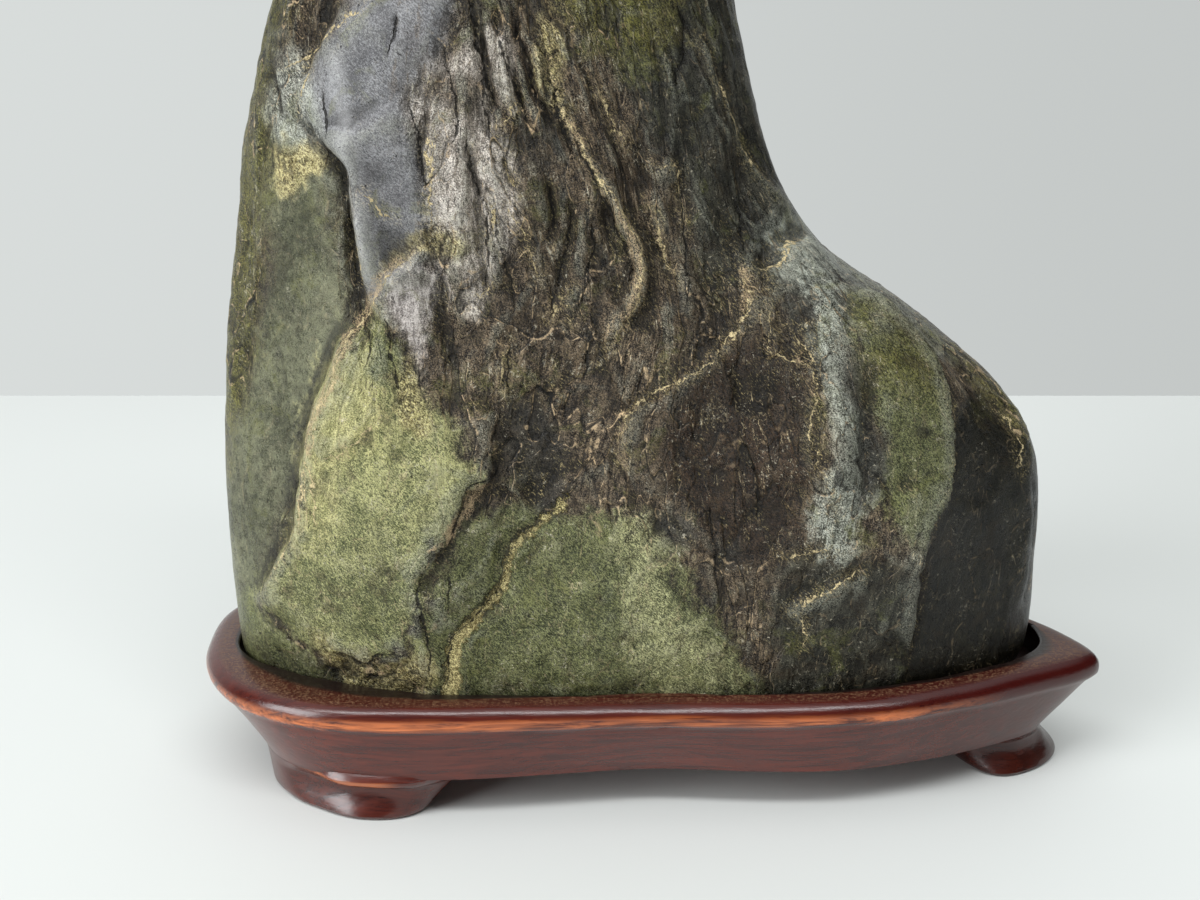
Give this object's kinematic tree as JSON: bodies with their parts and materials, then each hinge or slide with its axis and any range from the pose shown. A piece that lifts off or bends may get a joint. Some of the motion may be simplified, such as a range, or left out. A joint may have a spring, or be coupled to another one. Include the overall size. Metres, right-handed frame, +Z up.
{
  "type": "scholars rock",
  "caption": "Upright natural viewing stone, a tall leaning lobe beside a low round shoulder, seated in a boat-shaped carved wooden stand with short bracket feet.",
  "frame": {"origin": "on the surface the stand rests on, below the middle of the stand's rim", "axes": "+Z up, -Y toward the front face of the stone, +X toward the stand's pointed end and the low shoulder"},
  "size_m": [0.1824, 0.0746, 0.2229],
  "materials": {
    "stone": "waxed natural stone, semi-gloss, green with grey-brown bands and pale veins",
    "stand": "dark red-brown gloss lacquer worn to orange along the lip"
  },
  "bodies": {
    "root": {"stone": "stone", "stand": "stand"}
  },
  "joints": []
}
